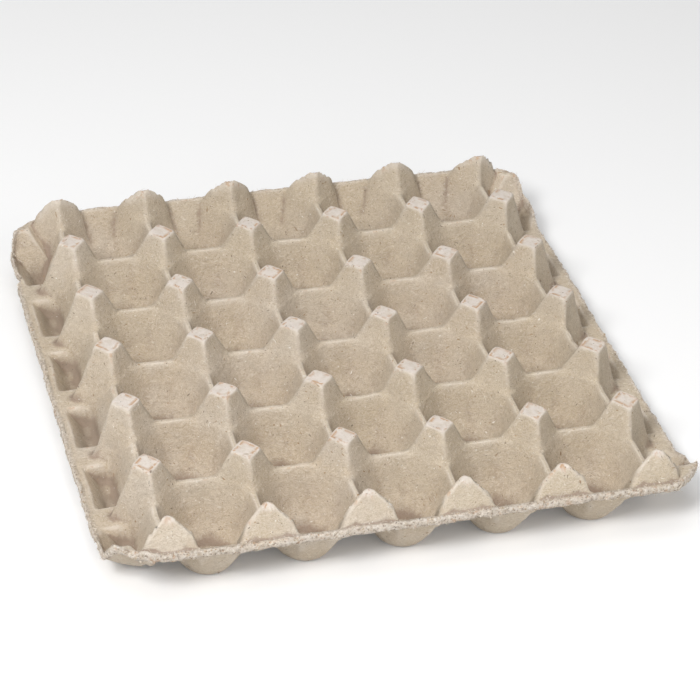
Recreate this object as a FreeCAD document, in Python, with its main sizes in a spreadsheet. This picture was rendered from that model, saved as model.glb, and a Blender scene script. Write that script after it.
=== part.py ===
import FreeCAD, Part
import os

# Moulded pulp tray with thirty cells, five across and six deep, drawn in millimetres.
# It is one sheet of pulp of nearly even thickness. The origin is the middle of the plane that
# the cell floors rest on, +X runs along a row of five cells, +Y along a row of six, +Z is up.
#
# The open space over the sheet is drawn first, from tapered blocks: the hollow of each cell,
# the space between the posts, the slopes at front and back, and the wells along the sides.
# The same blocks, grown by the wall, take in the sheet as well. What lies between is the tray.

sizes = {
    # cells and sheet
    "cells_across": 5,
    "cells_deep": 6,
    "pitch": 47.6,
    "tray_height": 45.0,
    "wall": 2.2,
    # share of the wall that a steep side and a turned floor edge grow by, seen in plan
    "side_growth": 1.12,
    "edge_growth": 0.45,
    # posts, by the half diagonal of their flat top and of their foot
    "post_top": 7.3,
    "post_foot": 15.0,
    # cell, from its middle to the sides and to the corners under the posts
    "ridge_height": 30.5,
    "mouth_reach": 22.7,
    "waist_height": 14.0,
    "waist_reach": 17.4,
    "waist_corner": 17.6,
    "floor_reach": 10.0,
    "floor_corner": 9.0,
    # front and back rim, from the outer line of posts
    "rim_out": 4.7,
    "lip_out": 2.2,
    "lip_half": 10.5,
    "lip_foot_half": 7.6,
    "peak_in": 5.0,
    # side rim and wells, from the outer line of posts
    "side_out": 28.5,
    "strip_width": 5.0,
    "strip_height": 14.5,
    "side_post_foot": 20.5,
    "side_wall_top": 1.1,
    "side_wall_foot": 10.0,
    "well_height": 6.0,
    "well_draft": 7.5,
    "well_lip": 7.8,
    "well_foot": 11.5,
    # plan corners of the rim
    "corner_radius": 26.0,
    # slope that ends the last well, and rise of the side rim, in from the outer row of posts
    "end_foot": 27.0,
    "end_top": 4.0,
    "rise_start": 40.0,
    "rise_end": 11.0,
}

os.makedirs("parts", exist_ok=True)
doc = FreeCAD.newDocument("pulp_tray")
sheet = doc.addObject("Spreadsheet::Sheet", "dims")
for row, (alias, value) in enumerate(sizes.items(), start=1):
    sheet.set(f"A{row}", alias)
    sheet.set(f"B{row}", str(value))
    sheet.setAlias(f"B{row}", alias)
doc.recompute()


def bind(target, prop, text):
    """Tie a property to an expression in which the words are names of sizes."""
    words = text.replace("(", "( ").replace(")", " )").split()
    target.setExpression(prop, " ".join(f"dims.{w}" if w in sizes else w for w in words))


def minus(text):
    return f"0 - ({text})"


def block(name, low, high, x_low, x_high, y_low, y_high, turn=0, at_x="0", at_y="0"):
    """A tapered block with a range of x and of y at its foot and at its top, turned about Z."""
    wedge = doc.addObject("Part::Wedge", name)
    upright = FreeCAD.Rotation(FreeCAD.Vector(1, 0, 0), 90)
    about_z = FreeCAD.Rotation(FreeCAD.Vector(0, 0, 1), turn)
    wedge.Placement = FreeCAD.Placement(FreeCAD.Vector(0, 0, 0), about_z * upright)
    ends = {
        "Ymin": low, "Ymax": high,
        "Xmin": x_low[0], "Xmax": x_low[1], "X2min": x_high[0], "X2max": x_high[1],
        "Zmin": minus(y_low[1]), "Zmax": minus(y_low[0]),
        "Z2min": minus(y_high[1]), "Z2max": minus(y_high[0]),
        "Placement.Base.x": at_x, "Placement.Base.y": at_y,
    }
    for prop, text in ends.items():
        bind(wedge, prop, text)
    return wedge


def even(reach):
    """A range that goes as far to both sides of the middle."""
    return (minus(reach), reach)


def square(name, low, high, reach_low, reach_high, turn=0, at_x="0", at_y="0"):
    """A tapered block that is square in plan."""
    foot = even(reach_low)
    top = even(reach_high)
    return block(name, low, high, foot, top, foot, top, turn, at_x, at_y)


def combined(kind, name, shapes):
    """The union (Fuse) or the shared part (Common) of several objects."""
    result = doc.addObject(f"Part::Multi{kind}", name)
    result.Shapes = shapes
    return result


def past_post(half_diagonal):
    """How far a post's face stands from the middle of the cell that it looks at."""
    return f"(pitch - {half_diagonal}) / sqrt(2)"


def copies(name, unit, places):
    """A unit repeated at several places and joined to one shape."""
    doc.recompute()
    result = doc.addObject("Part::Feature", name)
    shapes = []
    for x, y in places:
        shape = unit.Shape.copy()
        shape.translate(FreeCAD.Vector(x, y, 0))
        shapes.append(shape)
    result.Shape = shapes[0].multiFuse(shapes[1:])
    return result


def mirrored(name, source, normal):
    result = doc.addObject("Part::Mirroring", name)
    result.Source = source
    result.Normal = normal
    return result


def middles(count, extra=0):
    """Middles of a row of cells about the origin, with some more past each end."""
    return [(step - (count - 1) / 2) * sheet.pitch for step in range(-extra, count + extra)]


half_width = "(cells_across * pitch / 2)"
half_depth = "(cells_deep * pitch / 2)"
outer_x = f"({half_width} + side_out)"
outer_y = f"({half_depth} + rim_out)"

# blocks that cut through the rim reach this far past it
beyond = 5


def open_space(tag, grown):
    """All the space over the sheet, or with grown = 1 that space and the sheet under it."""
    side = f"{grown} * wall * side_growth"
    edge = f"{grown} * wall * edge_growth"
    drop = f"{grown} * wall"

    # one cell: eight walls in two slopes, down to a small flat floor
    lower = combined("Common", f"cell_lower_{tag}", [
        square(f"lower_sides_{tag}", f"wall - {drop}", "waist_height",
               f"floor_reach + {edge}", f"waist_reach + {side}"),
        square(f"lower_corners_{tag}", f"wall - {drop}", "waist_height",
               f"floor_corner + {edge}", f"waist_corner + {side}", turn=45)])
    upper = combined("Common", f"cell_upper_{tag}", [
        square(f"upper_sides_{tag}", "waist_height", "ridge_height",
               f"waist_reach + {side}", f"mouth_reach + {side}"),
        square(f"upper_corners_{tag}", "waist_height", "ridge_height",
               f"waist_corner + {side}", f"{past_post('post_foot')} + {side}", turn=45)])
    cell = combined("Fuse", f"cell_{tag}", [lower, upper])

    # over the ridges a cell is open to its neighbours, and only the post faces bound it
    between = combined("Common", f"between_posts_{tag}", [
        square(f"between_sides_{tag}", f"ridge_height - {drop}", "tray_height",
               "pitch / 2", "pitch / 2"),
        square(f"between_corners_{tag}", f"ridge_height - {drop}", "tray_height",
               f"{past_post('post_foot')} + {side}", f"{past_post('post_top')} + {side}", turn=45)])

    # front: the lip of a cell reaches out to the rim, and a slope takes off half of each post
    lip = block(f"front_lip_{tag}", "waist_height", "ridge_height",
                even(f"lip_foot_half + {side}"), even(f"lip_half + {side}"),
                (minus(f"waist_reach + {side}"), "0"), (minus(f"pitch / 2 + lip_out + {side}"), "0"))
    slope = block(f"front_slope_{tag}", f"ridge_height - {drop}", "tray_height",
                  even(f"{half_width} + side_out + {beyond}"), even(f"{half_width} + side_out + {beyond}"),
                  (minus(f"{half_depth} + rim_out + {beyond}"), minus(f"{half_depth} + lip_out - {side}")),
                  (minus(f"{half_depth} + rim_out + {beyond}"), minus(f"{half_depth} - peak_in - {side}")))

    # left side: a well between two posts, open from the height of the strip up to the posts' faces
    far = f"side_out + {beyond}"
    well_out = "side_out - strip_width"
    half = "pitch / 2"
    well = block(f"well_{tag}", f"well_height - {drop}", "strip_height",
                 (minus(f"{well_out} - well_draft + {edge}"), "0"), (minus(f"{well_out} + {side}"), "0"),
                 even(f"{half} - well_foot + {edge}"), even(f"{half} - well_lip + {side}"))
    mouth = block(f"well_mouth_{tag}", "strip_height", "ridge_height",
                  (minus(f"{well_out} + {side}"), "0"), (minus(f"{well_out} + {side}"), "0"),
                  even(half), even(half))
    over = block(f"side_over_{tag}", f"strip_height - {drop}", "tray_height",
                 (minus(far), "0"), (minus(far), "0"), even(half), even(half))
    faces = square(f"side_faces_{tag}", f"well_height - {drop}", "tray_height",
                   f"{past_post('side_post_foot')} + {side}", f"{past_post('post_top')} + {side}",
                   turn=45, at_x="0 - pitch / 2")
    low_wall = block(f"side_wall_{tag}", f"well_height - {drop}", "ridge_height",
                     (minus(far), minus(f"side_wall_foot - {side}")),
                     (minus(far), minus(f"side_wall_top - {side}")), even(half), even(half))
    no_wall = block(f"side_clear_{tag}", "ridge_height", "tray_height",
                    (minus(far), "0"), (minus(far), "0"), even(half), even(half))
    wall_bound = combined("Fuse", f"side_wall_bound_{tag}", [low_wall, no_wall])
    well_unit = combined("Common", f"well_unit_{tag}", [
        combined("Fuse", f"well_hollow_{tag}", [well, mouth]), faces, wall_bound])
    over_unit = combined("Common", f"over_unit_{tag}", [over, faces, wall_bound])

    cells = copies(f"cells_{tag}", cell,
                   [(x, y) for x in middles(sheet.cells_across) for y in middles(sheet.cells_deep)])
    gaps = copies(f"gaps_{tag}", between,
                  [(x, y) for x in middles(sheet.cells_across) for y in middles(sheet.cells_deep, 1)])
    front_row = middles(sheet.cells_deep)[0]
    lips = copies(f"lips_{tag}", lip, [(x, front_row) for x in middles(sheet.cells_across)])
    front = combined("Fuse", f"front_{tag}", [lips, slope])
    back = mirrored(f"back_{tag}", front, FreeCAD.Vector(0, 1, 0))

    # the wells end in a slope towards the corners and keep the strip's width across them
    post_line = -sheet.cells_across * sheet.pitch / 2
    wide = even(f"{half_width} + {far}")
    wells = copies(f"wells_{tag}", well_unit, [(post_line, y) for y in middles(sheet.cells_deep)])
    ends = block(f"well_ends_{tag}", f"well_height - {drop}", "ridge_height", wide, wide,
                 even(f"{half_depth} - end_foot + {side}"), even(f"{half_depth} - end_top + {side}"))
    across = f"({outer_x} + {outer_y}) / sqrt(2) - corner_radius * (sqrt(2) - 1) - strip_width + {side}"
    corners = square(f"well_corners_{tag}", f"well_height - {drop}", "ridge_height",
                     f"{across} - well_draft", across, turn=45)
    well_row = combined("Common", f"well_row_{tag}", [wells, ends, corners])

    # over the rim, which is low along the wells and rises to the height of the ridges
    overs = copies(f"overs_{tag}", over_unit, [(post_line, y) for y in middles(sheet.cells_deep, 1)])
    rise = block(f"rim_rise_{tag}", f"strip_height - {drop}", f"ridge_height - {drop}", wide, wide,
                 even(f"{half_depth} - rise_start"), even(f"{half_depth} - rise_end"))
    whole = even(f"{half_depth} + rim_out + {beyond}")
    clear = block(f"rim_clear_{tag}", f"ridge_height - {drop}", "tray_height", wide, wide, whole, whole)
    rim = combined("Fuse", f"rim_{tag}", [rise, clear])
    over_row = combined("Common", f"over_row_{tag}", [overs, rim])
    left = combined("Fuse", f"left_{tag}", [well_row, over_row])
    right = mirrored(f"right_{tag}", left, FreeCAD.Vector(1, 0, 0))
    return [cells, gaps, front, back, left, right]


# plan outline of the tray with its round corners, as high as the posts
bodies = [
    block("outline_long", "0", "tray_height", even(outer_x), even(outer_x),
          even(f"{outer_y} - corner_radius"), even(f"{outer_y} - corner_radius")),
    block("outline_wide", "0", "tray_height", even(f"{outer_x} - corner_radius"),
          even(f"{outer_x} - corner_radius"), even(outer_y), even(outer_y)),
]
for x_sign in ("", "0 - "):
    for y_sign in ("", "0 - "):
        corner = doc.addObject("Part::Cylinder", "outline_corner")
        bind(corner, "Radius", "corner_radius")
        bind(corner, "Height", "tray_height")
        bind(corner, "Placement.Base.x", f"{x_sign}({outer_x} - corner_radius)")
        bind(corner, "Placement.Base.y", f"{y_sign}({outer_y} - corner_radius)")
        bodies.append(corner)
outline = combined("Fuse", "outline", bodies)

# the caps that close the posts, one wall thick
caps = block("post_caps", "tray_height - wall", "tray_height",
             even(outer_x), even(outer_x), even(outer_y), even(outer_y))

filled = combined("Fuse", "filled", open_space("sheet", 1) + [caps])
inside = combined("Common", "inside_outline", [filled, outline])
space = combined("Fuse", "space", open_space("space", 0))
tray = doc.addObject("Part::Cut", "tray")
tray.Base = inside
tray.Tool = space
tray.Refine = True
tray.Label = "egg_tray"
doc.recompute()

for item in doc.Objects:
    if "Invalid" in item.State or "Error" in item.State:
        raise RuntimeError(f"{item.Label} failed")
shape = tray.Shape
if shape.isNull() or not shape.isValid() or len(shape.Solids) != 1:
    raise RuntimeError("the tray is not one sound solid")
box = shape.BoundBox
print(f"tray {box.XLength:.1f} x {box.YLength:.1f} x {box.ZLength:.1f} mm, "
      f"{shape.Volume / 1000:.1f} cm3, {len(shape.Faces)} faces")
shape.exportStep(f"parts/{tray.Label}.step")
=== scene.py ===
import bmesh
import bpy
import math
import numpy as np
from mathutils import Matrix, Vector, noise


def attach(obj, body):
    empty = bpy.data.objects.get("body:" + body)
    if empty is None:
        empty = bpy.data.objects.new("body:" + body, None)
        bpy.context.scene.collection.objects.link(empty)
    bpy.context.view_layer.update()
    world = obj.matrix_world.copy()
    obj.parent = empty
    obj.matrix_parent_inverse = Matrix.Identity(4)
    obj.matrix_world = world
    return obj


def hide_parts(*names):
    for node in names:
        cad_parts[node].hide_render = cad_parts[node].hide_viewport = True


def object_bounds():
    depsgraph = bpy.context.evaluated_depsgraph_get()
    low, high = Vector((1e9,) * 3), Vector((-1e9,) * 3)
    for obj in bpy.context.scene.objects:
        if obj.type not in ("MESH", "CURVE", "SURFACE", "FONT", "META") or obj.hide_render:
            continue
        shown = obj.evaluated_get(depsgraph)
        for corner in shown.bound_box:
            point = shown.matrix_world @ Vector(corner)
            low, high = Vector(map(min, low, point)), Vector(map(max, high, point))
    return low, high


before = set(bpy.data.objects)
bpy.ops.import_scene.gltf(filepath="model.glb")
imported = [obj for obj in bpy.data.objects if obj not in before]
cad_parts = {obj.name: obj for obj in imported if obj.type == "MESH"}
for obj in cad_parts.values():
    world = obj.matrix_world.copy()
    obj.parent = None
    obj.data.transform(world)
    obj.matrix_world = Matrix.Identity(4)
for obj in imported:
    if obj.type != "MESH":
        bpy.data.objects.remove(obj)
cad_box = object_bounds()


# The tray: one sheet of grey-brown pulp, sucked against a wire mould and dried in the mould.
# Thirty cells hang between hollow four-sided posts. A low rim with small wells closes the long
# sides and a high deckled rim closes the front and back.

MM = 0.001
PITCH = 47.6 * MM
HALF_PITCH = PITCH / 2
CELLS = (5, 6)
HALF_WIDTH = CELLS[0] * HALF_PITCH
HALF_DEPTH = CELLS[1] * HALF_PITCH
HEIGHT = 45.0 * MM
WALL = 2.2 * MM
SIDE_OUT = 28.5 * MM
RIM_OUT = 4.7 * MM
POST_FOOT = 15.0 * MM
POST_CREST = 0.9 * MM
CORNER_RADIUS = 26.0 * MM
CORNER_BEND = HALF_WIDTH + SIDE_OUT - CORNER_RADIUS
WELL_MIDDLE = 16.0 * MM
WELL_BRINK = 1.2 * MM
WELL_OUTER_FOOT = 15.6 * MM
WELL_END_FOOT = 12.3 * MM
LAST_WELL_FOOT = 163.6 * MM
LAST_WELL_ALONG = (0.42, 0.91)
CORNER_WELL_FOOT = 186.0 * MM
PRESSED_FULL = 5.0 * MM
SEGMENTS = 6
BLANK = 1.0 * MM
RIM_ROWS = 3


# how steep the walls are, as rise over run
CUP_SLOPE = 1.60
MOUTH_SLOPE = 3.11
SIDE_RIDGE_SLOPE = 2.75
POST_SLOPE = 1.88
OUTER_POST_SLOPE = 2.95
WELL_OUTER_SLOPE = 1.13
WELL_END_SLOPE = 2.3
LIP_SIDE_SLOPE = 4.0
LIP_FRONT_SLOPE = 1.92
TAB_SLOPE = 2.01


class Link:
    """An output socket. Sums on it add Math nodes to its tree."""

    def __init__(self, tree, socket=None):
        self.tree = tree
        self.socket = socket

    def add(self, kind, settings=None, sockets=None, out=0):
        """Add a node of any kind. Its settings come first, then the values or links it takes."""
        node = self.tree.nodes.new(kind)
        for name, value in (settings or {}).items():
            if name == "stops":
                ramp = node.color_ramp.elements
                while len(ramp) < len(value):
                    ramp.new(0.5)
                for element, (place, colour) in zip(ramp, value):
                    element.position = place
                    element.color = (*colour, 1.0)
            else:
                setattr(node, name, value)
        for name, value in (sockets or {}).items():
            for item in value if isinstance(value, list) else [value]:
                if isinstance(item, Link):
                    self.tree.links.new(item.socket, node.inputs[name])
                else:
                    node.inputs[name].default_value = item
        return Link(self.tree, node.outputs[out] if len(node.outputs) else None)

    def output(self, name):
        """Another output of the same node."""
        return Link(self.tree, self.socket.node.outputs[name])

    def math(self, operation, *numbers):
        return self.add("ShaderNodeMath", {"operation": operation}, dict(enumerate(numbers)))

    def __add__(self, other):
        return self.math("ADD", self, other)

    def __radd__(self, other):
        return self.math("ADD", other, self)

    def __sub__(self, other):
        return self.math("SUBTRACT", self, other)

    def __rsub__(self, other):
        return self.math("SUBTRACT", other, self)

    def __mul__(self, other):
        return self.math("MULTIPLY", self, other)

    def __rmul__(self, other):
        return self.math("MULTIPLY", other, self)

    def __truediv__(self, other):
        return self.math("DIVIDE", self, other)

    def __pow__(self, other):
        return self.math("POWER", self, other)

    def __abs__(self):
        return self.math("ABSOLUTE", self)


def plan_mesh(name, points, faces):
    mesh = bpy.data.meshes.new(name)
    mesh.from_pydata([(x, y, 0.0) for x, y in points], [], faces)
    return bpy.data.objects.new(name, mesh)


def between(start, end, steps):
    """Points along a straight run, without its last one."""
    return [tuple(a + (b - a) * k / steps for a, b in zip(start, end)) for k in range(steps)]


def rings_about(middle, outline, shares, closed=True):
    """Rings drawn in from an outline to a middle point, with the faces between them."""
    points = [middle]
    for share in shares:
        points += [tuple(m + (p - m) * share for m, p in zip(middle, place)) for place in outline]
    count = len(outline)
    steps = range(count if closed else count - 1)
    faces = [(0, 1 + k, 1 + (k + 1) % count) for k in steps]
    for ring in range(len(shares) - 1):
        near = 1 + ring * count
        far = near + count
        faces += [(near + k, far + k, far + (k + 1) % count, near + (k + 1) % count) for k in steps]
    return points, faces


def joined(parts):
    points, faces = [], []
    for more_points, more_faces in parts:
        faces += [tuple(len(points) + k for k in face) for face in more_faces]
        points += more_points
    return points, faces


POST_SHARES = [0.24, 0.38, 0.446, 0.472, 0.494, 0.516, 0.56, 0.65, 0.76, 0.88, 1.0]
CELL_SHARES = [0.14, 0.26, 0.35, 0.42, 0.48, 0.54, 0.61, 0.68, 0.74, 0.80,
               0.86, 0.91, 0.945, 0.965, 0.985, 1.0]
WELL_SHARES = [0.2, 0.32, 0.41, 0.47, 0.52, 0.56, 0.60, 0.64, 0.69, 0.75, 0.82, 0.89, 0.94, 0.975, 1.0]
FLAT_HALF = HALF_PITCH - POST_FOOT


def quarter_post(corner, x_sign, y_sign):
    """The quarter of a post that stands at the corner of a cell, drawn around its middle."""
    ends = [(corner[0] - x_sign * POST_FOOT, corner[1]), (corner[0], corner[1] - y_sign * POST_FOOT)]
    if x_sign * y_sign < 0:
        ends.reverse()
    run = between(ends[0], ends[1], SEGMENTS) + [ends[1]]
    return rings_about(corner, run, POST_SHARES, closed=False)


def cell_plan():
    """Plan of one cell: rings in eight sides, and a quarter of a post at each corner."""
    near, far = FLAT_HALF, HALF_PITCH
    corners = [(far, -near), (far, near), (near, far), (-near, far),
               (-far, near), (-far, -near), (-near, -far), (near, -far)]
    outline = []
    for start, end in zip(corners, corners[1:] + corners[:1]):
        outline += between(start, end, SEGMENTS)
    parts = [rings_about((0.0, 0.0), outline, CELL_SHARES)]
    for x_sign in (1, -1):
        for y_sign in (1, -1):
            parts.append(quarter_post((x_sign * HALF_PITCH, y_sign * HALF_PITCH), x_sign, y_sign))
    return joined(parts)


WELL_OUT_STEPS = 6
WELL_LONG_STEPS = 24


def well_plan():
    """Plan of the left side between two posts, out to the rim, with the outer half of each post."""
    bend = -POST_FOOT
    rim = -SIDE_OUT
    corners = [(0.0, -FLAT_HALF), (0.0, FLAT_HALF), (bend, HALF_PITCH), (rim, HALF_PITCH),
               (rim, -HALF_PITCH), (bend, -HALF_PITCH)]
    steps = [SEGMENTS, SEGMENTS, WELL_OUT_STEPS, WELL_LONG_STEPS, WELL_OUT_STEPS, SEGMENTS]
    outline = []
    for start, end, count in zip(corners, corners[1:] + corners[:1], steps):
        outline += between(start, end, count)
    parts = [rings_about((-WELL_MIDDLE, 0.0), outline, WELL_SHARES)]
    for y_sign in (1, -1):
        parts.append(quarter_post((0.0, y_sign * HALF_PITCH), 1, y_sign))
    return joined(parts)


FRONT_ROWS = [0.0, 0.9, 1.7, 2.3, 2.9, 3.6, 4.2, 4.7]


def front_plan():
    """Plan of the strip along the front, from the outer line of posts to the rim."""
    about_post = [-POST_FOOT * share for share in reversed(POST_SHARES)] + [0.0]
    about_post += [POST_FOOT * share for share in POST_SHARES]
    columns = []
    for k in range(CELLS[0] + 1):
        middle = (k - CELLS[0] / 2) * PITCH
        columns += [middle + offset for offset in about_post]
        if k < CELLS[0]:
            run = between((middle + POST_FOOT,), (middle + PITCH - POST_FOOT,), SEGMENTS)
            columns += [place[0] for place in run[1:]]
    end = HALF_WIDTH + POST_FOOT
    run = [place[0] for place in between((end,), (HALF_WIDTH + SIDE_OUT,), WELL_OUT_STEPS)]
    outer = run[1:] + [HALF_WIDTH + SIDE_OUT]
    columns = [-x for x in reversed(outer)] + columns + outer
    points = [(x, -HALF_DEPTH - y * MM) for y in FRONT_ROWS for x in columns]
    wide = len(columns)
    faces = []
    for row in range(len(FRONT_ROWS) - 1):
        for k in range(wide - 1):
            near = row * wide + k
            faces.append((near, near + wide, near + wide + 1, near + 1))
    return points, faces


def tray_tree(sizes, units, material):
    """The nodes that repeat the plans, give the blank two skins and press it into the mould."""
    tree = bpy.data.node_groups.new("tray_form", "GeometryNodeTree")
    face = tree.interface
    face.new_socket("Geometry", in_out="INPUT", socket_type="NodeSocketGeometry")
    face.new_socket("Geometry", in_out="OUTPUT", socket_type="NodeSocketGeometry")
    for name in ("Well plan", "Front plan"):
        face.new_socket(name, in_out="INPUT", socket_type="NodeSocketObject")
    for name in sizes:
        face.new_socket(name, in_out="INPUT", socket_type="NodeSocketFloat")
    new = Link(tree).add
    given = new("NodeGroupInput")
    take = {item.name: given.output(item.name) for item in face.items_tree if item.in_out == "INPUT"}

    # the plans, repeated
    def on_points(points, unit):
        placed = new("GeometryNodeInstanceOnPoints", sockets={"Points": points, "Instance": unit})
        return new("GeometryNodeRealizeInstances", sockets={"Geometry": placed})

    pitch = take["Pitch"]
    grid = new("GeometryNodeMeshGrid", sockets={
        "Size X": (CELLS[0] - 1) * pitch, "Size Y": (CELLS[1] - 1) * pitch,
        "Vertices X": CELLS[0], "Vertices Y": CELLS[1]})
    cells = on_points(grid, take["Geometry"])
    line = new("GeometryNodeMeshLine", {"mode": "OFFSET"}, {
        "Count": CELLS[1],
        "Start Location": new("ShaderNodeCombineXYZ", sockets={
            "X": (-0.5 * CELLS[0]) * pitch, "Y": (0.5 - 0.5 * CELLS[1]) * pitch}),
        "Offset": new("ShaderNodeCombineXYZ", sockets={"Y": pitch})})
    wells = on_points(line, new("GeometryNodeObjectInfo", sockets={"Object": take["Well plan"]}, out=4))
    front = new("GeometryNodeObjectInfo", sockets={"Object": take["Front plan"]}, out=4)
    edge = new("GeometryNodeJoinGeometry", sockets={"Geometry": [wells, front]})
    turned = new("GeometryNodeTransform", sockets={"Geometry": edge, "Rotation": (0.0, 0.0, math.pi)})
    plan = new("GeometryNodeJoinGeometry", sockets={"Geometry": [cells, edge, turned]})
    plan = new("GeometryNodeMergeByDistance", sockets={"Geometry": plan, "Distance": 0.02 * MM})

    # two skins with a row of faces between them round the rim
    blank, top = plan, True
    for _ in range(RIM_ROWS):
        blank = new("GeometryNodeExtrudeMesh", sockets={
            "Mesh": blank, "Selection": top, "Offset Scale": BLANK / RIM_ROWS, "Individual": False})
        top = blank.output("Top")
    under = new("GeometryNodeFlipFaces", sockets={"Mesh": plan})
    blank = new("GeometryNodeJoinGeometry", sockets={"Geometry": [blank, under]})
    blank = new("GeometryNodeMergeByDistance", sockets={"Geometry": blank, "Distance": 0.05 * MM})

    # places on the blank, folded so that every cell and every post reads alike
    position = new("GeometryNodeInputPosition")
    split = new("ShaderNodeSeparateXYZ", sockets={0: position})
    x, y, level = (split.output(k) for k in range(3))
    under = 1 - level / BLANK
    drop = under * take["Wall"]
    grow = under * take["Wall growth"]
    far_x, far_y = abs(x), abs(y)
    half = pitch * 0.5
    out_x = far_x - take["Half width"]
    out_y = far_y - take["Half depth"]

    def highest(*numbers):
        first, *rest = numbers
        for number in rest:
            first = first.math("MAXIMUM", first, number)
        return first

    def blend_max(a, b, soft):
        return new("ShaderNodeMath", {"operation": "SMOOTH_MAX"}, {0: a, 1: b, 2: soft * MM})

    def blend_min(a, b, soft):
        return new("ShaderNodeMath", {"operation": "SMOOTH_MIN"}, {0: a, 1: b, 2: soft * MM})

    def rise(place, start, height, slope):
        """Height of a sloping wall that passes one place at one height."""
        return height + (place - start) * slope

    def eased_between(value, low, high, to_low, to_high):
        return new("ShaderNodeMapRange", {"interpolation_type": "SMOOTHSTEP"}, {
            "Value": value, "From Min": low, "From Max": high, "To Min": to_low, "To Max": to_high})

    from_x = highest(x.math("PINGPONG", x, half), out_x + half)
    from_y = highest(half - y.math("PINGPONG", y, half), out_y + half)
    post_x = abs(half - from_x)
    post_y = abs(half - from_y)

    # cell: a floor, a waist and a steeper mouth, nearly round below and eight-sided above
    reach = blend_max(blend_max(from_x, from_y, 4.0), (from_x + from_y) * math.sqrt(0.5), 5.0)
    shrunk = reach - grow
    waist = take["Waist height"]
    floor = take["Wall"] - drop
    cell = blend_max(rise(shrunk, take["Waist reach"], waist, CUP_SLOPE),
                     rise(shrunk, take["Waist reach"], waist, MOUTH_SLOPE), 3.0)
    cell = blend_max(cell, floor, 5.0)
    ridge = take["Ridge height"] - drop
    sheet = blend_min(cell, ridge, 2.0)
    ridge_side = rise(out_x + grow, 1.1 * MM, take["Ridge height"], -SIDE_RIDGE_SLOPE)
    sheet = blend_min(sheet, ridge_side, 2.5)

    # posts: four faces that lean in, steeper on the sides that look out over the wells
    round_x = (post_x * post_x + POST_CREST * POST_CREST) ** 0.5
    round_y = (post_y * post_y + POST_CREST * POST_CREST) ** 0.5
    wider = eased_between(out_y, -9.0 * MM, -1.0 * MM, 0.0, 1.7 * MM)
    post_half = round_x + round_y + grow * 1.25 - POST_CREST * 0.4 - wider
    outside = eased_between(out_x, -1.0 * MM, 3.5 * MM, POST_SLOPE, OUTER_POST_SLOPE)
    post = HEIGHT - (post_half - take["Post top"]) * outside
    sheet = blend_max(sheet, post, 2.2)

    # rim: low along the sides, rising to the height of the ridges at the corners
    strip = eased_between(out_y, -42.0 * MM, -9.0 * MM, take["Strip height"], take["Ridge height"]) - drop

    # wells: a narrow foot, a sloping outer wall and steep ends, and slopes that close the last ones
    foot = take["Well height"]
    outer_wall = rise(out_x - grow, WELL_OUTER_FOOT, foot, WELL_OUTER_SLOPE)
    well = blend_max(foot - drop, outer_wall, 2.5)
    ends = rise(from_y - grow, WELL_END_FOOT, foot, WELL_END_SLOPE)
    well = blend_max(well, blend_min(ends, take["Strip height"] - drop, 2.0), 2.5)
    end_wall = far_x * LAST_WELL_ALONG[0] + far_y * LAST_WELL_ALONG[1]
    pressed_full = x.math("GREATER_THAN", x, 0.0) * y.math("LESS_THAN", y, 0.0) * PRESSED_FULL
    well = blend_max(well, rise(end_wall - grow + pressed_full, LAST_WELL_FOOT, foot, 1.0), 2.5)
    across = (far_x + far_y) * math.sqrt(0.5)
    well = blend_max(well, rise(across - grow, CORNER_WELL_FOOT, foot, 1.6), 2.5)
    well = blend_min(well, strip, 1.2)
    well = well.math("MINIMUM", well, rise(out_x, WELL_BRINK, take["Strip height"], 8.0))
    sheet = blend_max(sheet, well, 2.5)

    # front and back: a lip where each cell reaches the rim, and a slope over half of each post
    lip = blend_max(rise(from_x - grow, 10.5 * MM, take["Ridge height"], LIP_SIDE_SLOPE),
                    rise(out_y - grow, 2.2 * MM, take["Ridge height"], LIP_FRONT_SLOPE), 4.0)
    lip = highest(lip, rise(out_y, -HALF_PITCH, waist, -5.0), waist)
    sheet = blend_min(sheet, lip, 2.0)
    slope = blend_max(rise(out_y + grow, 2.2 * MM, take["Ridge height"], -TAB_SLOPE), ridge, 1.6)
    sheet = blend_min(sheet, slope, 1.0)
    sheet = blend_min(sheet, take["Tray height"] - drop, 0.7)

    # plan corners of the rim: the square corner of the blank is drawn in to an arc
    bend_x = take["Half width"] + SIDE_OUT - take["Corner radius"]
    bend_y = take["Half depth"] + RIM_OUT - take["Corner radius"]
    over_x = highest(far_x - bend_x, 0.0)
    over_y = highest(far_y - bend_y, 0.0)
    length = highest((over_x * over_x + over_y * over_y) ** 0.5, 0.001 * MM)
    pull = 1 - highest(over_x, over_y) / length
    side_x = x.math("SIGN", x)
    side_y = y.math("SIGN", y)
    target = new("ShaderNodeCombineXYZ", sockets={
        "X": x - side_x * over_x * pull, "Y": y - side_y * over_y * pull, "Z": sheet})
    blank = new("GeometryNodeStoreNamedAttribute", {"data_type": "FLOAT", "domain": "POINT"}, {
        "Geometry": blank, "Name": "under", "Value": under})
    blank = new("GeometryNodeStoreNamedAttribute", {"data_type": "FLOAT_VECTOR", "domain": "POINT"}, {
        "Geometry": blank, "Name": "plan", "Value": position})
    shaped = new("GeometryNodeSetPosition", sockets={"Geometry": blank, "Position": target})
    shaped = new("GeometryNodeSetShadeSmooth", sockets={"Geometry": shaped, "Shade Smooth": True})
    shaped = new("GeometryNodeRealizeInstances", sockets={"Geometry": shaped})
    shaped = new("GeometryNodeSetMaterial", sockets={"Geometry": shaped, "Material": material})
    new("NodeGroupOutput", sockets={"Geometry": shaped})
    return tree


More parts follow.
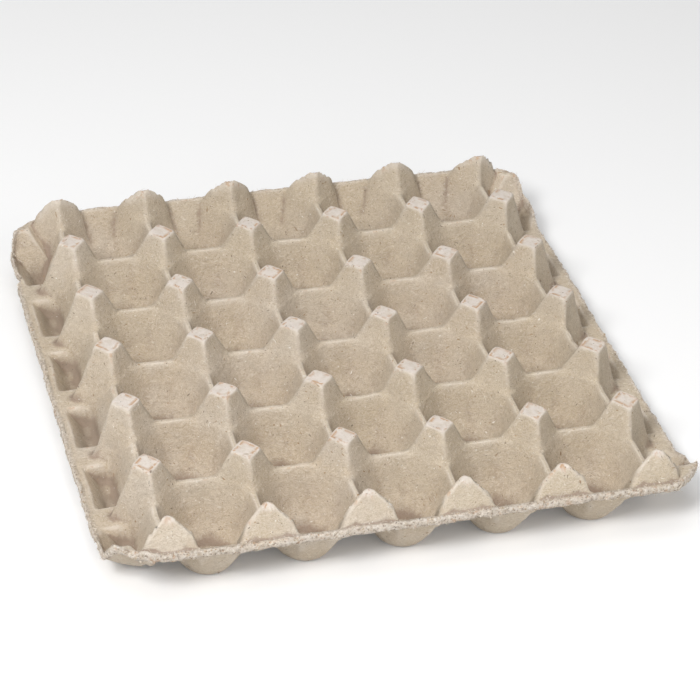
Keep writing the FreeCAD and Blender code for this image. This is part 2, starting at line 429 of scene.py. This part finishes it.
# colours of the pulp, of what time and drying did to it, of the torn rim, and of painted light and shade
WARM_BEIGE = (0.560, 0.465, 0.350)
COOL_GREY = (0.600, 0.520, 0.425)
TAN_CLOUD = (0.560, 0.470, 0.340)
DARK_LUMP = (0.420, 0.340, 0.255)
DARK_GRAIN = (0.345, 0.265, 0.185)
PALE_GRAIN = (0.700, 0.640, 0.560)
PALE_FIBRE = (0.690, 0.620, 0.530)
DARK_FIBRE = (0.370, 0.290, 0.210)
WHITE_HAIR = (0.760, 0.710, 0.640)
CREASE_SHADE = (0.250, 0.175, 0.135)
RUBBED_AND_HIGHLIGHT = (0.740, 0.670, 0.590)
LIT_POST_TOP = (0.725, 0.655, 0.600)
RIM_FELT = (0.640, 0.560, 0.485)
RIM_FLAKE_LIGHT = (0.780, 0.720, 0.650)
RIM_GAP_SHADE = (0.255, 0.190, 0.135)
WELL_SHADE_AND_GRIME = (0.290, 0.230, 0.175)
SCORCH = (0.480, 0.270, 0.130)


def pulp_material():
    """Grey-beige pulp of waste paper: cloudy colour, a felt of short fibres, specks, rubbed edges, and
    painted light and shade on crests, post tops, creases, wells and rim.
    """
    material = bpy.data.materials.new("pulp")
    material.use_nodes = True
    tree = material.node_tree
    shader = tree.nodes["Principled BSDF"]
    new = Link(tree).add
    place = new("ShaderNodeTexCoord", out=3)

    def attribute(name):
        return new("ShaderNodeAttribute", {"attribute_name": name}, out=2)

    def cloud(scale, detail=3.0, rough=0.55, where=place, out=0):
        return new("ShaderNodeTexNoise", {"noise_dimensions": "3D"}, {
            "Vector": where, "Scale": scale, "Detail": detail, "Roughness": rough}, out)

    def ramp(value, low, high, to_low=0.0, to_high=1.0):
        return new("ShaderNodeMapRange", {"interpolation_type": "SMOOTHSTEP"}, {
            "Value": value, "From Min": low, "From Max": high, "To Min": to_low, "To Max": to_high})

    def mixed(share, first, second):
        if isinstance(first, tuple):
            first = (*first, 1.0)
        return new("ShaderNodeMix", {"data_type": "RGBA"}, {0: share, 6: first, 7: (*second, 1.0)}, out=2)

    # the felt: short fibres that lie every way, drawn as noise stretched along four directions
    bent = new("ShaderNodeVectorMath", {"operation": "MULTIPLY_ADD"}, {
        0: cloud(95.0, 2.0, out=1), 1: (0.013, 0.013, 0.013), 2: place})
    fibres = 0.0
    pale_hairs = 0.0
    for turn in ((0.3, 0.2, 0.2), (0.9, 1.1, 1.0), (0.2, 2.0, 2.1), (1.4, 0.4, 2.8)):
        along = new("ShaderNodeMapping", sockets={
            "Vector": bent, "Rotation": turn, "Scale": (260.0, 2300.0, 2300.0)})
        strand = cloud(1.0, 1.0, 0.5, along)
        fibres = strand + fibres
        pale_hairs = ramp(strand, 0.69, 0.76) + pale_hairs
    fibres = fibres * 0.25
    grain = cloud(1500.0, 3.0, 0.65)
    lumps = cloud(420.0, 3.0, 0.6)
    patches = cloud(38.0, 4.0, 0.6)
    tone = cloud(9.0, 2.0, 0.5)

    # body colour, from warm beige to cool grey in patches as large as a thumb
    colour = mixed(ramp(patches, 0.36, 0.66), WARM_BEIGE, COOL_GREY)
    colour = mixed(ramp(tone, 0.40, 0.62, 0.0, 0.55), colour, TAN_CLOUD)
    colour = mixed(ramp(lumps, 0.35, 0.68, 0.0, 0.34), colour, DARK_LUMP)
    colour = mixed(ramp(grain, 0.45, 0.72, 0.0, 0.40), colour, DARK_GRAIN)
    colour = mixed(ramp(grain, 0.48, 0.30, 0.0, 0.30), colour, PALE_GRAIN)
    colour = mixed(ramp(fibres, 0.50, 0.60, 0.0, 0.45), colour, PALE_FIBRE)
    colour = mixed(ramp(fibres, 0.47, 0.40, 0.0, 0.40), colour, DARK_FIBRE)
    colour = mixed(ramp(pale_hairs, 0.0, 1.0, 0.0, 0.45), colour, WHITE_HAIR)

    # painted shade darkens the hollows and creases; crests are pale from rubbing and a painted highlight;
    # the flat post tops are painted paler as if lit from above
    crest = attribute("crest")
    hollow = attribute("hollow")
    post_top = attribute("post_top")
    deckle = attribute("deckle")
    colour = mixed(ramp(hollow + (lumps - 0.5) * 0.3, 0.04, 0.55, 0.0, 0.70), colour, CREASE_SHADE)
    # rubbed wear and a painted highlight make the convex crests pale
    worn_and_lit = ramp(crest + (lumps - 0.5) * 0.5, 0.06, 0.75, 0.0, 0.50)
    colour = mixed(worn_and_lit, colour, RUBBED_AND_HIGHLIGHT)
    # painted light: the flat post tops are painted paler as if lit from above
    colour = mixed(post_top * ramp(lumps, 0.30, 0.62, 0.50, 0.90), colour, LIT_POST_TOP)
    colour = mixed(deckle * ramp(patches, 0.35, 0.60, 0.25, 0.60), colour, RIM_FELT)
    # painted light on the raised rim flakes and painted shade in the gaps between them
    flakes = cloud(620.0, 3.0, 0.7)
    colour = mixed(deckle * ramp(flakes, 0.52, 0.62, 0.0, 0.85), colour, RIM_FLAKE_LIGHT)
    colour = mixed(deckle * ramp(flakes, 0.46, 0.38, 0.0, 0.75), colour, RIM_GAP_SHADE)

    # painted shade: the deep walls of the side wells are darker, as if shaded by their depth, with some
    # grime
    colour = mixed(attribute("inner") * ramp(patches, 0.30, 0.65, 0.35, 0.80), colour, WELL_SHADE_AND_GRIME)

    # tan scorch from the drying mould: broken lines round the post tops and along the rim
    broken = ramp(cloud(260.0, 2.0, 0.6), 0.46, 0.56)
    scorch = attribute("top_line") * broken * 0.9
    scorch = scorch.math("MAXIMUM", scorch, deckle * ramp(cloud(330.0, 3.0, 0.7), 0.60, 0.70) * 0.45)
    on_crests = ramp(crest, 0.25, 0.7) * ramp(cloud(210.0, 3.0, 0.7), 0.55, 0.66) * 0.5
    scorch = scorch.math("MAXIMUM", scorch, on_crests)
    colour = mixed(scorch, colour, SCORCH)

    # specks of print and bark: a few cells of a fine net each carry one
    for scale, share, size, shade in (
            (300.0, 0.84, 0.20, (0.340, 0.225, 0.130)),
            (620.0, 0.86, 0.26, (0.200, 0.155, 0.120)),
            (150.0, 0.955, 0.15, (0.285, 0.180, 0.100)),
            (520.0, 0.90, 0.24, (0.780, 0.750, 0.700))):
        net = new("ShaderNodeTexVoronoi", sockets={"Vector": bent, "Scale": scale})
        drawn = new("ShaderNodeSeparateColor", sockets={0: net.output("Color")})
        chosen, weight = drawn.output(0), drawn.output(1)
        near = ramp(net.output("Distance"), size, size * 0.55)
        mask = near * chosen.math("GREATER_THAN", chosen, share) * (0.45 + 0.5 * weight)
        colour = mixed(mask, colour, shade)

    tree.links.new(colour.socket, shader.inputs["Base Color"])
    rough = ramp(lumps, 0.3, 0.7, 0.86, 0.98)
    tree.links.new(rough.socket, shader.inputs["Roughness"])
    shader.inputs["Specular IOR Level"].default_value = 0.25
    relief = grain * 0.45 + lumps * 1.0 + fibres * 0.8 + pale_hairs * 0.12 + deckle * flakes * 2.6
    bump = new("ShaderNodeBump", sockets={
        "Height": relief, "Distance": 0.55 * MM, "Strength": 1.0})
    tree.links.new(bump.socket, shader.inputs["Normal"])
    return material


pulp = pulp_material()
TRAY_SIZES = {
    "Pitch": PITCH,
    "Half width": HALF_WIDTH,
    "Half depth": HALF_DEPTH,
    "Tray height": HEIGHT,
    "Wall": WALL,
    "Wall growth": 1.12 * WALL,
    "Waist height": 14.0 * MM,
    "Waist reach": 17.4 * MM,
    "Ridge height": 30.5 * MM,
    "Post top": 7.3 * MM,
    "Strip height": 14.5 * MM,
    "Well height": 6.0 * MM,
    "Corner radius": CORNER_RADIUS,
}
blank = plan_mesh("egg_tray_sheet", *cell_plan())
units = {
    "Well plan": plan_mesh("well_plan", *well_plan()),
    "Front plan": plan_mesh("front_plan", *front_plan()),
}
for item in (blank, *units.values()):
    bpy.context.scene.collection.objects.link(item)
tree = tray_tree(TRAY_SIZES, units, pulp)
modifier = blank.modifiers.new("form", "NODES")
modifier.node_group = tree
for item in tree.interface.items_tree:
    if item.in_out == "INPUT" and item.name in TRAY_SIZES:
        modifier[item.identifier] = TRAY_SIZES[item.name]
    if item.in_out == "INPUT" and item.name in units:
        modifier[item.identifier] = units[item.name]
bpy.context.view_layer.update()
graph = bpy.context.evaluated_depsgraph_get()
pressed = bpy.data.meshes.new_from_object(blank.evaluated_get(graph))
blank.modifiers.remove(modifier)
blank.data = pressed
for item in units.values():
    bpy.data.objects.remove(item)
tray = blank


# Handling and drying: the sheet is a little uneven all over, the posts lean a little each their
# own way, edges are nicked, and the rim is a deckle, thick and ragged where the pulp ended.

def values_of(mesh, name, width=1):
    values = np.empty(len(mesh.vertices) * width, np.float32)
    field = "vector" if width == 3 else "value"
    mesh.attributes[name].data.foreach_get(field, values)
    return values.reshape(-1, width) if width > 1 else values


def places_of(mesh):
    places = np.empty(len(mesh.vertices) * 3, np.float32)
    mesh.vertices.foreach_get("co", places)
    return places.reshape(-1, 3).astype(float)


noise.seed_set(30)


def unevenness(places, size, shift=0.0):
    """Smooth random moves that change over about the given length, in all three directions."""
    return np.array([noise.noise_vector(Vector(place)) for place in places / size + shift])


def eased(values, low, high):
    share = np.clip((values - low) / (high - low), 0.0, 1.0)
    return share * share * (3 - 2 * share)


under = values_of(pressed, "under")
plan = values_of(pressed, "plan", 3)
places = places_of(pressed)
random = np.random.default_rng(30)

# the whole sheet, kept flat where the cells stand
lifted = eased(places[:, 2], 1.0 * MM, 9.0 * MM)[:, None] * np.array([0, 0, 1]) + np.array([1, 1, 0])
move = 0.55 * unevenness(places, 34 * MM) + 0.26 * unevenness(places, 11 * MM, 7.0)
move += 0.11 * unevenness(places, 4 * MM, 3.0)
move += 0.05 * unevenness(places, 2 * MM, 5.0)
places += move * lifted * MM

# posts lean, and some are a little lower
column = np.clip(np.rint((plan[:, 0] + HALF_WIDTH) / PITCH), 0, CELLS[0]).astype(int)
row = np.clip(np.rint((plan[:, 1] + HALF_DEPTH) / PITCH), 0, CELLS[1]).astype(int)
lean = random.normal(0.0, 0.35, (CELLS[0] + 1, CELLS[1] + 1, 3)) * [1, 1, 0.8]
lean[:, :, 2] = -np.abs(lean[:, :, 2])
tilt = random.normal(0.0, 0.035, (CELLS[0] + 1, CELLS[1] + 1, 2))
from_post = np.stack([plan[:, 0] - (column - CELLS[0] / 2) * PITCH,
                      plan[:, 1] - (row - CELLS[1] / 2) * PITCH], axis=1)
raised = eased(places[:, 2], 30 * MM, 43 * MM)
places += raised[:, None] * lean[column, row] * MM
places[:, 2] += raised * (from_post * tilt[column, row]).sum(1)

# nicks and knocks: place, radius and depth in millimetres, pressed in along one direction
KNOCKS = [
    ((-128.0, -3.0, 26.0), 8.0, 1.6, (1.0, 0.3, -0.2)),
    ((-129.0, -52.0, 22.0), 10.0, 1.8, (1.0, 0.4, -0.1)),
    ((-133.0, -44.0, 17.0), 7.0, 1.3, (1.0, -0.6, -0.3)),
    ((-126.0, 46.0, 30.0), 7.0, 1.0, (1.0, 0.2, -0.3)),
    ((-119.0, 24.0, 30.0), 5.0, 1.4, (0.1, 0.0, -1.0)),
    ((-119.0, -70.0, 30.0), 6.0, 1.8, (0.2, 0.0, -1.0)),
    ((-119.0, -117.0, 30.0), 5.0, 1.3, (0.2, 0.0, -1.0)),
    ((119.0, -24.0, 30.0), 5.0, 1.3, (-0.1, 0.0, -1.0)),
    ((119.0, 70.0, 30.0), 6.0, 1.2, (-0.1, 0.0, -1.0)),
    ((0.0, -47.0, 30.0), 5.0, 1.0, (0.0, 0.2, -1.0)),
    ((95.0, 0.0, 30.0), 5.0, 0.9, (0.0, 0.1, -1.0)),
    ((-47.6, -140.0, 44.0), 5.0, 0.8, (0.0, 0.4, -1.0)),
]
for middle, radius, depth, along in KNOCKS:
    away = np.linalg.norm(places - np.array(middle) * MM, axis=1) / (radius * MM)
    direction = np.array(along) / np.linalg.norm(along)
    places += (np.exp(-2.5 * away ** 2) * depth * MM)[:, None] * direction

# the deckle: the band is ragged, thicker than the sheet, rounded over and pulled in unevenly
reach = np.array([HALF_WIDTH + SIDE_OUT, HALF_DEPTH + RIM_OUT])
to_rim = (reach - np.abs(plan[:, :2])).min(1)
band = 1 - eased(to_rim, 0.0, 3.5 * MM)
far = np.abs(places[:, :2])
on_side = far[:, 0] - reach[0] > far[:, 1] - reach[1]
near_corner = (far > CORNER_BEND).all(1)
square_in = np.where(on_side[:, None], -np.sign(places) * [1, 0, 0], -np.sign(places) * [0, 1, 0])
from_bend = (far - CORNER_BEND) * np.sign(places[:, :2])
round_in = np.zeros_like(places)
round_in[:, :2] = -from_bend / np.maximum(np.linalg.norm(from_bend, axis=1), 1e-6)[:, None]
inward = np.where(near_corner[:, None], round_in, square_in)
layer = places + np.array([0, 0, 1]) * under[:, None] * 6 * MM
rough = unevenness(layer, 6 * MM, 11.0)
fine = unevenness(layer, 2.4 * MM, 17.0)
bulge = 4 * under * (1 - under)
pull = 0.45 + 0.7 * rough[:, 0] + 0.7 * fine[:, 0] + 0.45 * (1 - bulge)
places += (band * np.clip(pull, 0.05, 2.2) * MM)[:, None] * inward
places[:, 2] += band * MM * (0.45 * rough[:, 2] + 0.5 * fine[:, 2] - 2.0 * under)

SAG_MIDDLE = (-141.0, 144.0)
SAG_SPREAD = (16.0, 14.0)
TORN_MIDDLE = (-131.0, -141.0)
TORN_SPREAD = (17.0, 12.0)
NICK_PLACE = 108.0 * MM
NICK_SPREAD = 2.2 * MM


def near_place(middle, spread):
    """A share that is 1 at a place of the plan, in millimetres, and fades over the spread."""
    away = (places[:, :2] / MM - middle) / spread
    return np.exp(-(away ** 2).sum(1))


# the back left corner sags, the front left one is torn and curled, and the rim has a nick
sag = near_place(SAG_MIDDLE, SAG_SPREAD)
places[:, 2] -= sag * 3.6 * MM * eased(places[:, 2], 14.0 * MM, 24.0 * MM)
torn = near_place(TORN_MIDDLE, TORN_SPREAD) * band
tear = unevenness(layer, 4.5 * MM, 23.0)
places[:, 2] += torn * MM * (0.8 + 2.4 * tear[:, 0])
places += (torn * MM * (0.8 + 1.8 * tear[:, 1]))[:, None] * inward
nick = np.exp(-((places[:, 1] - NICK_PLACE) / NICK_SPREAD) ** 2) * (places[:, 0] < 0) * band
places += (nick * 2.6 * MM)[:, None] * inward

limit = np.array([cad_box[1][0], cad_box[1][1]]) - 0.02 * MM
places[:, :2] = np.clip(places[:, :2], -limit, limit)
places[:, 2] = np.clip(places[:, 2], 0.0, HEIGHT)
pressed.vertices.foreach_set("co", places.astype(np.float32).ravel())
pressed.update()

# how far each place bulges or hollows, for the rubbed and painted-highlight edges and the painted shade
# in the corners
edges = np.empty(len(pressed.edges) * 2, np.int32)
pressed.edges.foreach_get("vertices", edges)
edges = edges.reshape(-1, 2)
normals = np.empty(len(pressed.vertices) * 3, np.float32)
pressed.vertex_normals.foreach_get("vector", normals)
normals = normals.reshape(-1, 3)
total = np.zeros_like(places)
length = np.zeros(len(places))
links = np.zeros(len(places))
run = places[edges[:, 1]] - places[edges[:, 0]]
run_length = np.linalg.norm(run, axis=1)
for end, sign in ((0, 1), (1, -1)):
    np.add.at(total, edges[:, end], sign * run / run_length[:, None])
    np.add.at(length, edges[:, end], run_length)
    np.add.at(links, edges[:, end], 1)
curve = -(total * normals).sum(1) / length
for _ in range(2):
    spread = np.zeros(len(places))
    for end in (0, 1):
        np.add.at(spread, edges[:, end], curve[edges[:, 1 - end]])
    curve = 0.5 * curve + 0.5 * spread / links

diamond = np.abs(from_post).sum(1) / MM
wander = 0.7 * unevenness(plan, 5 * MM, 31.0)[:, 0]
upper = under < 0.5
height = places[:, 2]
top_line = np.exp(-((diamond - 5.9 + wander) / 0.55) ** 2) * eased(height, 42.0 * MM, 43.5 * MM) * upper
post_top = eased(-diamond, -8.0, -6.3) * eased(height, 42.2 * MM, 43.6 * MM) * upper
# painted shade mask for the deep parts of the side wells, with some grime
inner = eased(-height, -13.5 * MM, -7.0 * MM) * (np.abs(plan[:, 0]) > HALF_WIDTH + 6 * MM) * upper
SHARPEST = 110.0
fields = {
    "crest": np.clip(curve / SHARPEST, 0, 1),
    "hollow": np.clip(-curve / SHARPEST, 0, 1),
    "top_line": top_line,
    "post_top": post_top,
    "deckle": band,
    "inner": inner,
}
for name, values in fields.items():
    pressed.attributes.new(name, "FLOAT", "POINT").data.foreach_set("value", values.astype(np.float32))

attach(tray, "root")
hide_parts("egg_tray")


# Loose felt: where the sheet was torn off its mould, crumbs of pulp stand on the rim and the
# ridges, and single fibres lift from them. They are part of the same pulp and held by it.

def crumb_unit():
    """A flat crumb of pulp, as long as one millimetre."""
    shape = bmesh.new()
    bmesh.ops.create_icosphere(shape, subdivisions=1, radius=0.5)
    for vertex in shape.verts:
        vertex.co *= 0.8 + 0.5 * noise.noise(vertex.co * 3.0)
        vertex.co.y *= 0.7
        vertex.co.z *= 0.38
    mesh = bpy.data.meshes.new("crumb")
    shape.to_mesh(mesh)
    shape.free()
    return bpy.data.objects.new("crumb", mesh)


def fibre_unit():
    """A bent fibre, as long as one millimetre, three-sided and drawn out to a point."""
    shape = bmesh.new()
    rings = []
    steps = 5
    for step in range(steps):
        share = step / (steps - 1)
        middle = Vector((share - 0.5, 0.16 * math.sin(2.6 * share), 0.34 * share * share))
        thick = 0.032 * (1.0 - 0.75 * share)
        ring = []
        for corner in range(3):
            angle = corner * math.tau / 3
            ring.append(shape.verts.new(middle + Vector((0.0, math.cos(angle), math.sin(angle))) * thick))
        rings.append(ring)
    for near, far in zip(rings, rings[1:]):
        for k in range(3):
            shape.faces.new((near[k], near[(k + 1) % 3], far[(k + 1) % 3], far[k]))
    shape.faces.new(rings[0][::-1])
    shape.faces.new(rings[-1])
    bmesh.ops.recalc_face_normals(shape, faces=shape.faces)
    mesh = bpy.data.meshes.new("fibre")
    shape.to_mesh(mesh)
    shape.free()
    return bpy.data.objects.new("fibre", mesh)


def scatter_tree(material):
    """The nodes that strew one small unit over the rim and the edges of the sheet."""
    tree = bpy.data.node_groups.new("loose_felt", "GeometryNodeTree")
    face = tree.interface
    face.new_socket("Geometry", in_out="INPUT", socket_type="NodeSocketGeometry")
    face.new_socket("Geometry", in_out="OUTPUT", socket_type="NodeSocketGeometry")
    face.new_socket("Unit", in_out="INPUT", socket_type="NodeSocketObject")
    face.new_socket("Seed", in_out="INPUT", socket_type="NodeSocketInt")
    for name in ("On the rim", "On edges", "Smallest", "Largest", "Tilt"):
        face.new_socket(name, in_out="INPUT", socket_type="NodeSocketFloat")
    new = Link(tree).add
    given = new("NodeGroupInput")
    take = {item.name: given.output(item.name) for item in face.items_tree if item.in_out == "INPUT"}

    def field(name):
        return new("GeometryNodeInputNamedAttribute", {"data_type": "FLOAT"}, {"Name": name})

    density = field("deckle") * take["On the rim"] + (field("crest") ** 2) * take["On edges"]
    points = new("GeometryNodeDistributePointsOnFaces", {"distribute_method": "RANDOM"}, {
        "Mesh": take["Geometry"], "Density": density, "Seed": take["Seed"]})
    along = points.output("Rotation")
    tilt = take["Tilt"]
    twist = new("FunctionNodeRandomValue", {"data_type": "FLOAT_VECTOR"}, {
        0: new("ShaderNodeCombineXYZ", sockets={"X": 0 - tilt, "Y": 0 - tilt, "Z": 0.0}),
        1: new("ShaderNodeCombineXYZ", sockets={"X": tilt, "Y": tilt, "Z": math.tau}),
        "Seed": take["Seed"]})
    turned = new("FunctionNodeRotateRotation", {"rotation_space": "LOCAL"}, {
        0: along, 1: new("FunctionNodeEulerToRotation", sockets={0: twist})})
    size = new("FunctionNodeRandomValue", {"data_type": "FLOAT"}, {
        2: take["Smallest"], 3: take["Largest"], "Seed": take["Seed"]}, out=1)
    unit = new("GeometryNodeObjectInfo", sockets={"Object": take["Unit"]}, out=4)
    strewn = new("GeometryNodeInstanceOnPoints", sockets={
        "Points": points, "Instance": unit, "Rotation": turned, "Scale": size})
    strewn = new("GeometryNodeRealizeInstances", sockets={"Geometry": strewn})
    strewn = new("GeometryNodeSetMaterial", sockets={"Geometry": strewn, "Material": material})
    new("NodeGroupOutput", sockets={"Geometry": strewn})
    return tree


def strew(name, unit, tree, settings):
    """A piece made of one unit strewn over a copy of the sheet, kept inside the tray's box."""
    piece = bpy.data.objects.new(name, pressed.copy())
    for item in (piece, unit):
        bpy.context.scene.collection.objects.link(item)
    modifier = piece.modifiers.new("strew", "NODES")
    modifier.node_group = tree
    settings = {**settings, "Unit": unit}
    for item in tree.interface.items_tree:
        if item.in_out == "INPUT" and item.name in settings:
            modifier[item.identifier] = settings[item.name]
    bpy.context.view_layer.update()
    ready = bpy.context.evaluated_depsgraph_get()
    mesh = bpy.data.meshes.new_from_object(piece.evaluated_get(ready))
    piece.modifiers.remove(modifier)
    piece.data = mesh
    bpy.data.objects.remove(unit)
    spots = places_of(mesh)
    spots[:, :2] = np.clip(spots[:, :2], -limit, limit)
    spots[:, 2] = np.clip(spots[:, 2], 0.3 * MM, HEIGHT)
    mesh.vertices.foreach_set("co", spots.astype(np.float32).ravel())
    mesh.update()
    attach(piece, "root")


def felt_material():
    """The same pulp where it is teased out: paler, with some tan and brown strands."""
    material = bpy.data.materials.new("teased_pulp")
    material.use_nodes = True
    tree = material.node_tree
    shader = tree.nodes["Principled BSDF"]
    new = Link(tree).add
    place = new("ShaderNodeTexCoord", out=3)
    patches = new("ShaderNodeTexNoise", sockets={"Vector": place, "Scale": 420.0, "Detail": 2.0})
    tones = new("ShaderNodeValToRGB", {"stops": [
        (0.33, (0.430, 0.320, 0.215)), (0.42, (0.570, 0.480, 0.375)), (0.60, (0.700, 0.640, 0.560))]},
        {"Fac": patches})
    tree.links.new(tones.socket, shader.inputs["Base Color"])
    shader.inputs["Roughness"].default_value = 0.95
    shader.inputs["Specular IOR Level"].default_value = 0.2
    return material


felt = scatter_tree(felt_material())
strew("rim_crumbs", crumb_unit(), felt, {
    "Seed": 5, "On the rim": 230000.0, "On edges": 16000.0,
    "Smallest": 0.5 * MM, "Largest": 2.1 * MM, "Tilt": 0.5})
strew("lifted_fibres", fibre_unit(), felt, {
    "Seed": 9, "On the rim": 90000.0, "On edges": 14000.0,
    "Smallest": 1.4 * MM, "Largest": 5.0 * MM, "Tilt": 0.35})


# The stage: a pale floor that keeps the tray's shadow, a white surround and soft lamps.

SURROUND = 0.24
FLOOR_LIFT = 0.10
floor_mesh = bpy.data.meshes.new("floor")
FLOOR_HALF = 3.0
FLOOR_LEVEL = -0.2 * MM
floor_corners = [(x * FLOOR_HALF, y * FLOOR_HALF, FLOOR_LEVEL)
                 for x, y in ((-1, -1), (1, -1), (1, 1), (-1, 1))]
floor_mesh.from_pydata(floor_corners, [], [(0, 1, 2, 3)])
floor = bpy.data.objects.new("floor", floor_mesh)
bpy.context.scene.collection.objects.link(floor)
floor_material = bpy.data.materials.new("floor")
floor_material.use_nodes = True
floor_shader = floor_material.node_tree.nodes["Principled BSDF"]
floor_shader.inputs["Base Color"].default_value = (0.87, 0.87, 0.87, 1.0)
floor_shader.inputs["Roughness"].default_value = 1.0
floor_shader.inputs["Specular IOR Level"].default_value = 0.0
floor_seen = Link(floor_material.node_tree).add("ShaderNodeLightPath") * FLOOR_LIFT
floor_material.node_tree.links.new(floor_seen.socket, floor_shader.inputs["Emission Color"])
floor_shader.inputs["Emission Strength"].default_value = 1.0
floor_mesh.materials.append(floor_material)

world = bpy.data.worlds.new("surround")
bpy.context.scene.world = world
world.use_nodes = True
surround = world.node_tree.nodes["Background"]
surround.inputs["Color"].default_value = (1.0, 1.0, 1.0, 1.0)
rays = Link(world.node_tree).add("ShaderNodeLightPath")
seen = rays.output("Is Camera Ray")
for kind in ("Is Glossy Ray", "Is Transmission Ray"):
    seen = seen.math("MAXIMUM", seen, rays.output(kind))
world.node_tree.links.new((SURROUND + (1 - SURROUND) * seen).socket, surround.inputs["Strength"])


def soft_lamp(name, place, size, power):
    lamp = bpy.data.lights.new(name, "AREA")
    lamp.energy = power
    lamp.size = size
    item = bpy.data.objects.new(name, lamp)
    item.location = place
    item.rotation_euler = (-Vector(place)).to_track_quat("-Z", "Y").to_euler()
    bpy.context.scene.collection.objects.link(item)


soft_lamp("key", (-0.78, -0.80, 1.2), 0.45, 19.0)
soft_lamp("top", (-0.2, -0.1, 1.6), 1.0, 7.0)
soft_lamp("fill", (0.8, -1.1, 0.8), 1.2, 6.0)

# the camera stands in front, a little to the left, and looks down on the tray
VIEW_FROM = (-0.3123, -0.9963, 0.7734)
RIGHT = (0.9615, -0.2698, 0.0512)
UP = (0.1176, 0.5730, 0.8111)
BACK = (-0.2482, -0.7739, 0.5827)
view = bpy.data.cameras.new("view")
view.sensor_width = 36.0
view.lens = 129.2
camera = bpy.data.objects.new("view", view)
camera.matrix_world = Matrix.Translation(VIEW_FROM) @ Matrix((RIGHT, UP, BACK)).transposed().to_4x4()
bpy.context.scene.collection.objects.link(camera)
bpy.context.scene.camera = camera
bpy.context.scene.view_settings.view_transform = "Standard"
